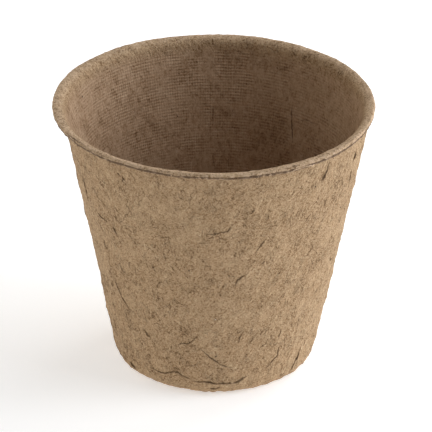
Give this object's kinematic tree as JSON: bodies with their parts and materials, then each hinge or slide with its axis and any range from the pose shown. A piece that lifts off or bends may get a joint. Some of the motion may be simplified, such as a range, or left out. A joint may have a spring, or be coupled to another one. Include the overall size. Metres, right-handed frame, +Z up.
{
  "type": "peat pot",
  "caption": "Round tapered seedling pot of pressed peat and wood pulp, with a flared lip, rounded heel and a drain hole in the raised floor.",
  "frame": {"origin": "on the pot's axis, in the plane that it stands on", "axes": "+Z up along the pot's axis, from the foot to the mouth; X and Y are level and alike, because the pot is round"},
  "size_m": [0.08, 0.08, 0.07],
  "materials": {
    "peat_pulp": "matte, rough outer face, fine mesh print inside"
  },
  "bodies": {
    "root": {"moulded_pot": "peat_pulp"}
  },
  "joints": []
}
